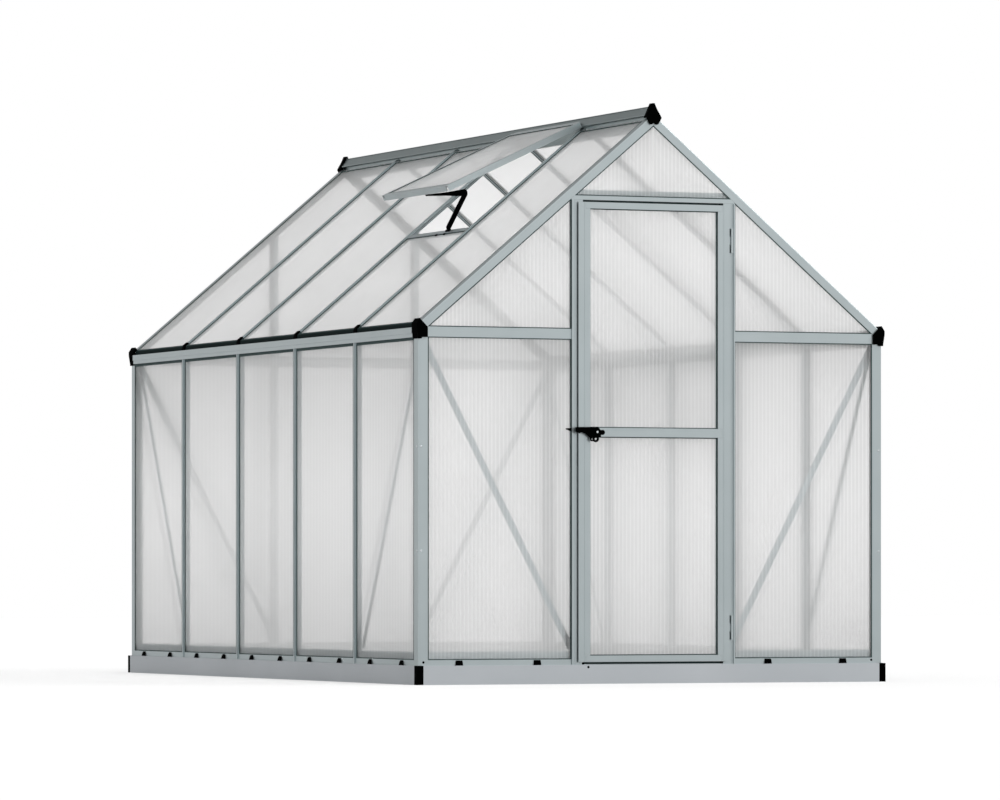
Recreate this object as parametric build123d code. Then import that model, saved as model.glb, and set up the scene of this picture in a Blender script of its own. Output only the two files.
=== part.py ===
from build123d import *
import math
import os

# Apex greenhouse of aluminium bars glazed with twin-wall sheets, on a folded metal plinth.
# Millimetres, +Z up, door gable facing -Y, ridge along Y, origin on the ground at the middle of the plinth.

# Overall sizes
outer_width = 1850.0
outer_length = 3060.0
plinth_height = 68.0
roof_pitch = 40.0
eaves_bottom = 1232.0
roof_over_eaves = 51.3
bay_count = 5

# Wall make-up, measured inward from the outer face of the frame
side_inset = 10.0
end_inset = 15.0
roof_setback = 6.0
metal = 2.0
sheet_thickness = 4.0
sheet_clearance = 0.3
frame_depth = 24.0
seat_gap = 0.3

# Glazing bars
bar_face = 30.0
bar_flange = 24.0
bar_web = 3.0
bar_foot = 18.0
roof_bar_depth = 14.0
nose_width = 10.0
nose_height = 4.0
nose_start = 32.0

# Corner posts and gable rafters
post_arm = 38.0
core_size = 16.0
rafter_arm = 30.0
rafter_setback = 10.0
post_round = 3.0

# Sill
sill_lip = 20.0
sill_inner_lip = 49.0
sill_foot = 10.0

# Plinth
plinth_flange = 45.0
plinth_foot = 40.0
cap_leg = 25.0
anchor_hole_radius = 5.0
anchor_spacing_x = 1500.0

# Eaves beam, heights above its underside
gutter_reach = 9.0
gutter_lip_height = 35.0
gutter_groove_height = 14.0
gutter_floor_height = 20.0
groove_step = 3.0
face_groove = 1.5
face_groove_depth = 0.8

# Eaves seals under the lower edge of each roof sheet
seal_lap = 9.0
seal_wall = 2.0
seal_reach = 3.3
seal_skirt = 7.0

# Eaves end caps, heights above the beam's underside
eaves_cap_top = 49.0
eaves_cap_front = 10.0
eaves_cap_peak = 67.0
eaves_cap_prong = 5.5
eaves_cap_reach = 15.0

# Ridge beam, heights from the roof's apex
ridge_rise = 31.0
ridge_half = 20.0
ridge_flat = 3.0
ridge_skirt_drop = 1.0
ridge_band_step = 1.5
ridge_tube_half = 9.0
ridge_tube_drop = 54.0
ridge_bead = 3.2
ridge_cap_rise = 10.0
ridge_cap_front = 11.0
ridge_cap_back = 26.0
ridge_cap_wide = 28.0
ridge_cap_wide_drop = 12.0
ridge_cap_wall = 2.0
ridge_cap_leg = 24.0

# Door and its frame
jamb_outer = 322.0
jamb_face = 45.0
jamb_web_offset = 14.0
jamb_bead = 5.0
door_gap = 6.0
door_overlap = 21.0
door_front = 9.0
door_depth = 24.0
door_foot_gap = 10.0
door_head_gap = 8.0
stile_width = 46.0
stile_groove = 22.0
door_sheet_grip = 14.0
door_rail_height = 23.0
door_mid_rail_bottom = 885.0
door_mid_rail_height = 32.0
header_drop = 3.3
header_height = 15.0
header_lip_height = 37.0
stop_width = 15.0
stop_depth = 4.0

# Gable rails
gable_rail_rise = 2.0
gable_rail_height = 36.0

# Hinges
hinge_height = 88.0
hinge_low = 156.0
hinge_from_top = 171.0
hinge_air = 5.0
knuckle_radius = 5.0
pin_radius = 2.2
pin_clearance = 0.4
hinge_plate = 1.2
hinge_leaf_width = 25.0

# Door latch
latch_from_edge = 67.0
latch_z = 901.0
latch_plate_thickness = 3.7
latch_lever_thickness = 5.6
latch_air = 5.2
latch_pin_radius = 3.5
latch_head_radius = 5.0
latch_head_gap = 0.5
latch_bore_clearance = 0.4
latch_plate_sides = (-22.0, 14.0, -16.0, 14.0)
plate_eye = (-1.0, -24.0)
plate_eye_radius = 12.0
plate_eye_hole = 4.5
lever_eye = (-19.0, -25.0)
lever_eye_radius = 8.0
lever_eye_hole = 3.5
lever_knob = (20.0, -1.0)
lever_knob_radius = 9.0

# Outline of the lever and of its keeper in X and Z, from the pivot and from the jamb
lever_shape = [(2, 19), (-84, 17), (-84, 2), (-68, -5), (-63, 0), (-44, -6)]
lever_shape += [(-26, -20), (-12, -22), (14, -18), (15, 5)]
keeper_shape = [(0, 14), (-22, 13), (-20, 9), (0, 2)]
keeper_front = 4.0

# Braces
brace_width = 24.0
brace_thickness = 2.0
brace_foot_rise = 62.0
brace_top_drop = 10.0
brace_end_inset = 30.0
brace_side_inset = 33.0

# Roof vent, its clips placed from the middle of the vent
vent_bay = 1
vent_overlap = 16.0
vent_length = 588.0
vent_drop = 25.0
vent_rail_height = 22.0
vent_rail_top = 17.0
vent_rail_flange = 18.0
vent_sill_slope = 604.0
vent_sill_width = 20.0
vent_head = 4.8
hook_wall = 2.4
hook_clearance = 0.4

# Vent stay
stay_from_centre = -86.0
stay_arm_width = 18.0
stay_thickness = 5.0
stay_elbow_x = -396.0
stay_elbow_drop = 243.0
stay_knuckle = 13.0
stay_pin_radius = 4.0
stay_pin_clearance = 0.3
stay_pin_head = 2.0
stay_foot = (40.0, 4.0, 10.0)
stay_lug = (8.0, 7.0, 12.0)
stay_tip = (2.0, -5.0)
stay_waist = 0.7

# Clips
clip_width = 26.0
clip_height = 18.0
clip_reach = 7.0
clip_spacing = 302.0
roof_clip_height = 18.0
roof_clip_rise = 2.2
vent_clip_width = 18.0
vent_clip_places = (-7.0, -84.0)

# Worked-out values
half_width = outer_width / 2
half_length = outer_length / 2
face_x = half_width - side_inset
face_y = half_length - end_inset
slot_in = metal + sheet_clearance
slot_out = slot_in + sheet_thickness
inner_lip = slot_out + sheet_clearance
pitch = math.radians(roof_pitch)
cos_p = math.cos(pitch)
sin_p = math.sin(pitch)
tan_p = math.tan(pitch)
bay = 2 * face_y / bay_count
bar_places = [-face_y + bay * k for k in range(1, bay_count)]
sill_top = plinth_height + metal
roof_edge = face_x - roof_setback
roof_apex = eaves_bottom + roof_over_eaves + roof_edge * tan_p
gutter_lip_top = eaves_bottom + gutter_lip_height
gutter_groove = eaves_bottom + gutter_groove_height
gutter_floor = eaves_bottom + gutter_floor_height
ridge_top = roof_apex + ridge_rise
ridge_skirt_bottom = roof_apex - ridge_skirt_drop
ridge_tube_bottom = roof_apex - ridge_tube_drop
ridge_skirt = metal + 0.5
gable_rail_bottom = eaves_bottom + gable_rail_rise
jamb_inner = jamb_outer - jamb_face
header_bottom = roof_apex - jamb_outer * tan_p - (rafter_arm + seat_gap) / cos_p - header_drop
door_bottom = plinth_height + door_foot_gap
door_top = header_bottom - door_head_gap
leaf_body = jamb_inner - door_gap
leaf_edge = jamb_inner + door_overlap
stile_inner = leaf_edge - stile_width
latch_x = latch_from_edge - leaf_edge
door_face_y = -face_y - door_front
door_back_y = door_face_y + door_depth
hinge_x = leaf_edge + knuckle_radius + hinge_air
hinge_y = door_face_y
knuckle_gap = 0.5


def block(x0, x1, y0, y1, z0, z1):
    """A box given by its lowest and highest corners."""
    size = Box(abs(x1 - x0), abs(y1 - y0), abs(z1 - z0))
    return Pos((x0 + x1) / 2, (y0 + y1) / 2, (z0 + z1) / 2) * size


def joined(rects):
    """One flat section from rectangles given as (u0, u1, v0, v1)."""
    section = None
    for u0, u1, v0, v1 in rects:
        piece = Pos((u0 + u1) / 2, (v0 + v1) / 2) * Rectangle(u1 - u0, v1 - v0)
        section = piece if section is None else section + piece
    return section


def outline(points):
    """A flat face inside a closed run of points."""
    return make_face(Polyline(*points, close=True))


def plate_xz(points, y0, y1):
    """A plate with an outline in X and Z, between two values of Y."""
    return extrude(Plane.XZ.offset(-y1) * outline(points), y1 - y0)


def both_sides(shape):
    return [shape, mirror(shape, about=Plane.YZ)]


def both_ends(shape):
    return [shape, mirror(shape, about=Plane.XZ)]


def four_corners(shape):
    pair = both_sides(shape)
    return pair + [mirror(one, about=Plane.XZ) for one in pair]


def save(name, pieces):
    solids = [solid for piece in pieces for solid in piece.solids()]
    export_step(Compound(solids), "parts/" + name + ".step")


def roof_z(x, depth=0.0):
    """Height of the roof surface at x, or of a plane lying depth below it."""
    return roof_apex - abs(x) * tan_p - depth / cos_p


def slope_point(s, depth):
    """Place in X and Z at s down the left roof slope and depth under its surface."""
    return (-s * cos_p + depth * sin_p, roof_apex - s * sin_p - depth * cos_p)


def under_roof(depth, x_a, x_b):
    """Outline of all that lies above the plane at this depth under the right slope, between two X."""
    return [(x_a, roof_z(x_a, depth)), (x_b, roof_z(x_b, depth)), (x_b, ridge_top), (x_a, ridge_top)]


def slope_plane(y):
    """Left roof slope: local x is Y, local y goes into the roof, local z runs down the slope."""
    return Plane(origin=(0, y, roof_apex), x_dir=(0, 1, 0), z_dir=(-cos_p, 0, -sin_p))


def bar_section(depth=frame_depth):
    """Glazing bar: nose, outer flange, web, sheet flange and foot. The roof's bars are less deep."""
    return joined([
        (-bar_face / 2, bar_face / 2, 0, metal),
        (-nose_width / 2, nose_width / 2, -nose_height, metal),
        (-bar_web / 2, bar_web / 2, 0, depth),
        (-bar_flange / 2, bar_flange / 2, inner_lip, inner_lip + metal),
        (-bar_foot / 2, bar_foot / 2, depth - metal, depth),
    ])


def corner_section(arm_a, arm_b, flanged=False):
    """Corner profile with a sheet slot in each arm, a hollow core and, on a post, flanges for the braces."""
    rects = [
        (0, arm_a, 0, metal),
        (0, metal, 0, arm_b),
        (core_size - metal, core_size, 0, core_size),
        (0, core_size, core_size - metal, core_size),
        (core_size - metal, arm_a, inner_lip, inner_lip + metal),
        (inner_lip, inner_lip + metal, core_size - metal, arm_b),
    ]
    if flanged:
        rects += [
            (core_size - metal, core_size, core_size - metal, frame_depth),
            (core_size - metal, arm_a, frame_depth - metal, frame_depth),
            (core_size - metal, frame_depth, core_size - metal, core_size),
            (frame_depth - metal, frame_depth, core_size - metal, arm_b),
        ]
    section = joined(rects)
    corner = section.vertices().sort_by_distance((0, 0, 0))[0]
    return fillet(corner, post_round)


def sill_section():
    """Groove profile lying on the plinth: local x is depth inward, local y is height."""
    return joined([
        (0, frame_depth, plinth_height, sill_top),
        (0, metal, plinth_height, plinth_height + sill_lip),
        (inner_lip, inner_lip + metal, plinth_height, plinth_height + sill_inner_lip),
        (frame_depth - metal, frame_depth, plinth_height, plinth_height + sill_foot),
    ])


def make_plinth():
    """Folded channel on each side, joined by black corner pieces."""
    z_top = plinth_height
    clear = cap_leg + seat_gap

    x_end = half_width - clear
    y_out = -half_length
    front = block(-x_end, x_end, y_out, y_out + metal, 0, z_top)
    front += block(-x_end, x_end, y_out, y_out + plinth_flange, z_top - metal, z_top)
    front += block(-x_end, x_end, y_out, y_out + plinth_foot, 0, metal)
    for x in (-anchor_spacing_x / 2, anchor_spacing_x / 2):
        hole = Cylinder(anchor_hole_radius, 3 * metal)
        front -= Pos(x, y_out + plinth_foot / 2 + metal, metal / 2) * hole
    save("plinth_front", [front])
    save("plinth_back", [mirror(front, about=Plane.XZ)])

    y_in = half_length - plinth_flange - seat_gap
    left = block(-half_width, -half_width + metal, -half_length + clear, half_length - clear, 0, z_top)
    left += block(-half_width, -half_width + plinth_flange, -y_in, y_in, z_top - metal, z_top)
    left += block(-half_width, -half_width + plinth_foot, -y_in, y_in, 0, metal)
    save("plinth_left", [left])
    save("plinth_right", [mirror(left, about=Plane.YZ)])

    x0 = -half_width
    y0 = -half_length
    z1 = z_top - metal
    wall = metal + seat_gap
    cap = block(x0, x0 + cap_leg, y0, y0 + metal, 0, z1)
    cap += block(x0, x0 + metal, y0, y0 + cap_leg, 0, z1)
    cap += block(x0, x0 + 2 * cap_leg, y0 + wall, y0 + wall + metal, wall, z1 - seat_gap)
    cap += block(x0 + wall, x0 + wall + metal, y0, y0 + 2 * cap_leg - metal, wall, z1 - seat_gap)
    cap += block(x0, x0 + cap_leg, y0, y0 + cap_leg, z1 - metal, z_top)
    save("plinth_corner_caps", four_corners(cap))


def make_sills():
    """Sheet groove all round, notched where bars, posts and jambs stand."""
    notch = bar_face + 2 * seat_gap
    z_cut = sill_top
    z_over = plinth_height + sill_inner_lip + metal

    end_section = Plane(origin=(-face_x, -face_y, 0), x_dir=(0, 1, 0), z_dir=(1, 0, 0)) * sill_section()
    front = extrude(end_section, 2 * face_x)
    post_cut = post_arm + seat_gap
    for side in (-1, 1):
        x_a = side * (face_x + 1)
        x_b = side * (face_x - post_cut)
        front -= block(x_a, x_b, -face_y - 1, -face_y + frame_depth + 1, z_cut, z_over)
    door_cut = jamb_outer + seat_gap
    closed = front
    front -= block(-door_cut, door_cut, -face_y - 1, -face_y + frame_depth + 1, z_cut, z_over)
    save("sill_front", [front])
    for side in (-1, 1):
        x_a = side * (jamb_outer + seat_gap)
        x_b = side * (jamb_outer - bar_face - seat_gap)
        closed -= block(x_a, x_b, -face_y - 1, -face_y + frame_depth + 1, z_cut, z_over)
    save("sill_back", [mirror(closed, about=Plane.XZ)])

    y_end = face_y - frame_depth - seat_gap
    side_plane = Plane(origin=(-face_x, y_end, 0), x_dir=(1, 0, 0), z_dir=(0, -1, 0))
    left = extrude(side_plane * sill_section(), 2 * y_end)
    for y in bar_places:
        left -= block(-face_x - 1, -face_x + frame_depth + 1, y - notch / 2, y + notch / 2, z_cut, z_over)
    for end in (-1, 1):
        y_a = end * (face_y + 1)
        y_b = end * (face_y - post_cut)
        left -= block(-face_x - 1, -face_x + frame_depth + 1, y_a, y_b, z_cut, z_over)
    save("sill_left", [left])
    save("sill_right", [mirror(left, about=Plane.YZ)])


def make_posts():
    """Four grooved corner posts, cut to the slope where the gable rafters land on them."""
    section = Pos(-face_x, -face_y) * corner_section(post_arm, post_arm, flanged=True)
    x_in = face_x - post_arm - 1
    x_out = face_x + 1
    post = extrude(Plane.XY.offset(sill_top) * section, roof_z(x_in) - sill_top)
    above = plate_xz(under_roof(rafter_arm + seat_gap, x_in, x_out), -face_y - 1, -face_y + post_arm + 1)
    post -= mirror(above, about=Plane.YZ)
    save("corner_posts", four_corners(post))


def make_wall_bars():
    section = Rot(0, 0, -90) * bar_section()
    pieces = []
    for y in bar_places:
        bar = extrude(Plane(origin=(-face_x, y, sill_top)) * section, eaves_bottom - seat_gap - sill_top)
        pieces.append(bar)
    save("wall_bars_left", pieces)
    save("wall_bars_right", [mirror(bar, about=Plane.YZ) for bar in pieces])


def eaves_section():
    """Open gutter outside, sheet slot below, seat for the roof above: local x is depth inward."""
    seat = roof_z(face_x - inner_lip, inner_lip + metal) - seat_gap
    out = -gutter_reach
    low = out + groove_step
    line = (gutter_groove + gutter_lip_top) / 2
    return joined([
        (out, out + metal, gutter_groove, line),
        (out + face_groove_depth, out + metal, line, line + face_groove),
        (out, out + metal, line + face_groove, gutter_lip_top),
        (low, low + metal, eaves_bottom, gutter_groove + metal),
        (out, low + metal, gutter_groove, gutter_groove + metal),
        (low, metal, eaves_bottom, eaves_bottom + metal),
        (0, metal, eaves_bottom, gutter_floor + metal),
        (out, frame_depth, gutter_floor, gutter_floor + metal),
        (inner_lip, inner_lip + metal, eaves_bottom, seat),
        (frame_depth - metal, frame_depth, eaves_bottom, gutter_floor + metal),
    ])


def make_eaves():
    y_end = face_y - post_arm - seat_gap
    plane = Plane(origin=(-face_x, y_end, 0), x_dir=(1, 0, 0), z_dir=(0, -1, 0))
    beam = extrude(plane * eaves_section(), 2 * y_end)
    save("eaves_beam_left", [beam])
    save("eaves_beam_right", [mirror(beam, about=Plane.YZ)])

    out = face_x + gutter_reach
    lean = rafter_arm * sin_p
    drop = rafter_arm * cos_p
    x_rafter = face_x - eaves_cap_reach
    x_inner = x_rafter - lean
    z_inner = roof_z(x_rafter) - drop
    prong = eaves_bottom - eaves_cap_prong
    shape = [
        (-face_x + groove_step, eaves_bottom + eaves_cap_peak),
        (-out, eaves_bottom + eaves_cap_top),
        (-out, gutter_lip_top),
        (-out + 2 * groove_step, eaves_bottom),
        (-out + 2 * groove_step, prong),
        (-out + post_arm / 2, prong),
        (-out + post_arm / 2 + groove_step, eaves_bottom),
        (-x_inner, eaves_bottom),
        (-x_inner, z_inner),
    ]
    y_front = -face_y - eaves_cap_front
    y_back = -y_end - seat_gap
    cap = plate_xz(shape, y_front, y_back)
    room = [
        (-face_x - seat_gap, prong - 1),
        (0, prong - 1),
        (0, roof_z(0, -seat_gap)),
        (-face_x - seat_gap, roof_z(face_x + seat_gap, -seat_gap)),
    ]
    cap -= plate_xz(room, -face_y - seat_gap, y_back + 1)
    save("eaves_corner_caps", four_corners(cap))

    wall = face_x - inner_lip + seat_gap
    s_low = roof_edge / cos_p
    under = slot_out + seat_gap
    seat = roof_z(face_x - inner_lip, inner_lip + metal) + seat_gap
    strip = [
        (-wall, gutter_lip_top - 1),
        (-wall - seal_reach, gutter_lip_top - 1),
        (-wall - seal_reach, seat + seal_skirt),
        slope_point(s_low + seat_gap + seal_wall, seat_gap),
        slope_point(s_low - seal_lap, seat_gap),
        slope_point(s_low - seal_lap, slot_in - seat_gap),
        slope_point(s_low + seat_gap, slot_in - seat_gap),
        slope_point(s_low + seat_gap, under),
        (slope_point(s_low + seat_gap, under)[0], seat),
        (-wall, seat),
    ]
    lines = [-y_end - bar_face / 2] + bar_places + [y_end + bar_face / 2]
    edge = bar_face / 2 + seat_gap
    seals = [plate_xz(strip, a + edge, b - edge) for a, b in zip(lines, lines[1:])]
    save("eaves_seals", [one for seal in seals for one in both_sides(seal)])


def make_roof_bars():
    s_end = roof_edge / cos_p
    x_wall = face_x - inner_lip - metal - seat_gap
    pieces = []
    for y in bar_places:
        y_a = y - bar_face
        y_b = y + bar_face
        bar = extrude(slope_plane(y) * bar_section(roof_bar_depth), s_end)
        bar -= block(-ridge_tube_half - seat_gap, half_width, y_a, y_b, eaves_bottom, ridge_top)
        low = [
            (-x_wall, roof_z(x_wall, inner_lip + metal)),
            (-half_width, roof_z(half_width, inner_lip + metal)),
            (-half_width, eaves_bottom - bar_face),
            (-x_wall, eaves_bottom - bar_face),
        ]
        bar -= plate_xz(low, y_a, y_b)
        nose_cut = Pos(0, -nose_height, s_end) * Box(bar_face, 2 * nose_height, 2 * roof_clip_height)
        bar -= slope_plane(y).location * nose_cut
        hood_cut = Pos(0, -nose_height, 0) * Box(bar_face, 2 * nose_height, 2 * nose_start)
        bar -= slope_plane(y).location * hood_cut
        pieces.append(bar)
    save("roof_bars_left", pieces)
    save("roof_bars_right", [mirror(bar, about=Plane.YZ) for bar in pieces])

    top = -nose_height - roof_clip_rise
    s_high = s_end - roof_clip_height + 1
    wall = face_x - inner_lip + seat_gap
    clip = [
        slope_point(s_high, top),
        slope_point(s_end - 1, top),
        (-wall - seal_reach - 2 * metal, gutter_lip_top + gutter_reach),
        (-wall - seal_reach - 2 * metal, gutter_lip_top),
        (-wall - seal_reach, gutter_lip_top),
        slope_point(s_end + seat_gap, slot_out),
        slope_point(s_end + seat_gap, -seat_gap),
        slope_point(s_high, -seat_gap),
    ]
    clips = [plate_xz(clip, y - clip_width / 2, y + clip_width / 2) for y in bar_places]
    save("roof_bar_clips", [one for clip in clips for one in both_sides(clip)])


def hood_out(z):
    """Half width of the ridge hood's outer face at this height."""
    return ridge_flat + (ridge_half - ridge_flat) * (ridge_top - z) / (ridge_top - ridge_skirt_bottom)


def make_ridge():
    """Steep hood with a recessed band over a square tube, and a hinge bead along each lower edge."""
    tall = ridge_top - ridge_skirt_bottom
    peak_in = ridge_top - 2.2 * ridge_skirt
    foot_in = ridge_half - ridge_skirt
    z_a = ridge_top - 0.08 * tall
    z_b = ridge_top - 0.6 * tall
    right = [
        (ridge_flat, ridge_top),
        (hood_out(z_a), z_a),
        (hood_out(z_a) - ridge_band_step, z_a),
        (hood_out(z_b) - ridge_band_step, z_b),
        (hood_out(z_b), z_b),
        (ridge_half, ridge_skirt_bottom),
        (foot_in, ridge_skirt_bottom),
    ]
    hood = outline(right + [(0, peak_in)] + [(-x, z) for x, z in right[::-1]])
    wall_in = peak_in - ridge_tube_half * (peak_in - ridge_skirt_bottom) / foot_in
    wall_out = ridge_top - (ridge_tube_half - ridge_flat) * tall / (ridge_half - ridge_flat)
    wall_top = (wall_in + wall_out) / 2
    tube = joined([
        (-ridge_tube_half, -ridge_tube_half + metal, ridge_tube_bottom, wall_top),
        (ridge_tube_half - metal, ridge_tube_half, ridge_tube_bottom, wall_top),
        (-ridge_tube_half, ridge_tube_half, ridge_tube_bottom, ridge_tube_bottom + metal),
    ])
    half_tube = face_y - post_arm - seat_gap
    half_beads = face_y - ridge_cap_back - seat_gap
    beam = extrude(Plane.XZ.offset(-face_y) * hood, 2 * face_y)
    beam += extrude(Plane.XZ.offset(-half_tube) * tube, 2 * half_tube)
    for side in (-1, 1):
        bead = Pos(side * (ridge_half - ridge_skirt / 2), ridge_skirt_bottom) * Circle(ridge_bead)
        beam += extrude(Plane.XZ.offset(-half_beads) * bead, 2 * half_beads)
    save("ridge_beam", [beam])

    y_face = -face_y - seat_gap
    y_front = -face_y - ridge_cap_front
    cap_top = ridge_top + ridge_cap_rise
    z_wide = roof_apex - ridge_cap_wide_drop
    wide = ridge_cap_wide
    fall = cap_top - z_wide
    z_leg = z_wide - ridge_cap_leg
    half_face = [
        (ridge_flat + 1, cap_top),
        (0.33 * wide, cap_top - 0.3 * fall),
        (0.52 * wide, cap_top - 0.53 * fall),
        (wide, z_wide),
        (0.8 * wide, z_wide - 0.45 * ridge_cap_leg),
        (0.5 * wide, z_leg),
        (0.36 * wide, z_leg),
    ]
    notch = [(0, z_leg + 0.25 * ridge_cap_leg)]
    cap = plate_xz(half_face + notch + [(-x, z) for x, z in half_face[::-1]], y_front, y_face)
    clear = metal / 2
    half_cover = [
        (ridge_flat + 1, cap_top),
        (wide, z_wide),
        (wide - ridge_cap_wall, z_wide),
        (ridge_half + clear, ridge_skirt_bottom),
        (ridge_flat + clear, ridge_top + clear),
    ]
    cover = half_cover + [(-x, z) for x, z in half_cover[::-1]]
    cap += plate_xz(cover, y_face, y_face + ridge_cap_back)
    lean = Plane.YZ.offset(-half_width) * outline([
        (y_front - 1, z_wide + 0.15 * fall),
        (y_face - metal, cap_top + 1),
        (y_front - 1, cap_top + 1),
    ])
    cap -= extrude(lean, outer_width)
    save("ridge_end_caps", both_ends(cap))


def make_gable_rafters():
    """Corner profile laid along the gable slope: one slot for the roof sheet, one for the gable sheet."""
    s_end = (face_x - rafter_setback) / cos_p
    plane = Plane(origin=(0, -face_y, roof_apex), x_dir=(0, 1, 0), z_dir=(-cos_p, 0, -sin_p))
    rafter = extrude(plane * corner_section(post_arm, rafter_arm), s_end)
    y_in = -face_y + post_arm
    rafter -= block(-seat_gap / 2, half_width, -face_y - 1, y_in + 1, eaves_bottom, ridge_top)
    pair = both_sides(rafter)
    save("gable_rafters_front", pair)
    save("gable_rafters_back", [mirror(one, about=Plane.XZ) for one in pair])


def rail_section():
    """Rail lying across a gable: local x is depth inward, local y is height, a sheet slot up and down."""
    mid = gable_rail_bottom + gable_rail_height / 2
    return joined([
        (0, metal, gable_rail_bottom, gable_rail_bottom + gable_rail_height),
        (0, frame_depth, mid - metal / 2, mid + metal / 2),
        (inner_lip, inner_lip + metal, gable_rail_bottom, gable_rail_bottom + gable_rail_height),
        (frame_depth - metal, frame_depth, mid - bar_foot / 2, mid + bar_foot / 2),
    ])


def make_gable_rails():
    x_in = jamb_outer + seat_gap
    x_out = face_x - post_arm - seat_gap
    plane = Plane(origin=(x_in, -face_y, 0), x_dir=(0, 1, 0), z_dir=(1, 0, 0))
    rail = extrude(plane * rail_section(), x_out - x_in)
    pair = both_sides(rail)
    save("gable_rails_front", pair)
    inner = jamb_outer - bar_face - seat_gap
    middle_plane = Plane(origin=(-inner, -face_y, 0), x_dir=(0, 1, 0), z_dir=(1, 0, 0))
    middle = extrude(middle_plane * rail_section(), 2 * inner)
    save("gable_rails_back", [mirror(one, about=Plane.XZ) for one in pair + [middle]])


def make_back_posts():
    """Two glazing bars closing the middle bay of the back gable, cut to the rafters."""
    x_mid = jamb_outer - bar_face / 2
    x_a = x_mid - bar_face
    x_b = x_mid + bar_face
    bar = extrude(Plane(origin=(x_mid, -face_y, sill_top)) * bar_section(), roof_z(x_a) - sill_top)
    bar -= plate_xz(under_roof(rafter_arm + seat_gap, x_a, x_b), -face_y - bar_face, -face_y + post_arm)
    save("back_wall_posts", [mirror(one, about=Plane.XZ) for one in both_sides(bar)])


def make_door_frame():
    """Hollow jambs with a raised outer bead, a header with a sheet groove, and the door's seals."""
    web_a = jamb_outer - jamb_web_offset - metal
    web_b = jamb_outer - jamb_web_offset
    line = web_b + face_groove
    section = joined([
        (jamb_inner, web_b, 0, metal),
        (web_b, line, face_groove_depth, metal),
        (line, jamb_outer, 0, metal),
        (jamb_outer - jamb_bead, jamb_outer, -jamb_bead, metal),
        (jamb_inner, jamb_inner + metal, 0, frame_depth),
        (web_a, web_b, face_groove_depth, frame_depth),
        (web_a, jamb_outer, inner_lip, inner_lip + metal),
        (jamb_inner, jamb_outer - metal, frame_depth - metal, frame_depth),
    ])
    jamb = extrude(Plane(origin=(0, -face_y, sill_top)) * section, header_bottom - seat_gap - sill_top)
    save("door_jambs", both_sides(jamb))

    groove = joined([
        (0, metal, header_bottom, header_bottom + header_height),
        (0, frame_depth, header_bottom, header_bottom + metal),
        (inner_lip, inner_lip + metal, header_bottom, header_bottom + header_lip_height),
        (frame_depth - metal, frame_depth, header_bottom, header_bottom + header_height),
    ])
    plane = Plane(origin=(-jamb_outer, -face_y, 0), x_dir=(0, 1, 0), z_dir=(1, 0, 0))
    header = extrude(plane * groove, 2 * jamb_outer)
    above = plate_xz(under_roof(rafter_arm + seat_gap, 0, jamb_outer + 1), -face_y - 1, -face_y + post_arm)
    room = block(web_b, jamb_outer + 1, -face_y + metal, -face_y + inner_lip, header_bottom - 1, roof_apex)
    for one in both_sides(above) + both_sides(room):
        header -= one
    save("door_header", [header])

    y_in = -face_y + frame_depth
    y_out = y_in - stop_depth
    x_out = jamb_inner - seat_gap
    x_in = x_out - stop_width
    side_stop = block(x_in, x_out, y_out, y_in, sill_top, header_bottom - seat_gap)
    x_cross = x_in - seat_gap
    top_stop = block(-x_cross, x_cross, y_out, y_in, header_bottom - stop_width, header_bottom - seat_gap)
    low_stop = block(-x_cross, x_cross, y_out, y_in, sill_top + seat_gap, sill_top + stop_width)
    save("door_stops", both_sides(side_stop) + [top_stop, low_stop])


def make_braces():
    """Flat strips from each top corner down to the foot of the next bar."""
    z_low = plinth_height + brace_foot_rise
    z_high = eaves_bottom - brace_top_drop
    depth = frame_depth + seat_gap

    def strip(u0, z0, u1, z1):
        run = math.hypot(u1 - u0, z1 - z0)
        du = brace_width / 2 * (z1 - z0) / run
        dz = brace_width / 2 * (u1 - u0) / run
        return [(u0 - du, z0 + dz), (u0 + du, z0 - dz), (u1 + du, z1 - dz), (u1 - du, z1 + dz)]

    u_top = face_y - brace_side_inset
    u_foot = face_y - bay + bar_foot
    plane = Plane(origin=(-face_x + depth, 0, 0), x_dir=(0, 1, 0), z_dir=(1, 0, 0))
    side = extrude(plane * outline(strip(-u_foot, z_low, -u_top, z_high)), brace_thickness)
    side -= block(-face_x, -face_x + 2 * depth, -half_length, -face_y + depth, z_low, eaves_bottom)
    save("side_braces", four_corners(side))

    x_top = face_x - brace_end_inset
    x_foot = jamb_outer - jamb_web_offset / 2
    x_end = face_x - depth - brace_thickness - seat_gap
    front = plate_xz(strip(x_foot, z_low, x_top, z_high), -face_y + depth, -face_y + depth + brace_thickness)
    front -= block(x_end, half_width, -face_y, -face_y + 2 * depth, z_low, eaves_bottom)
    save("gable_braces", four_corners(front))


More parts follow.
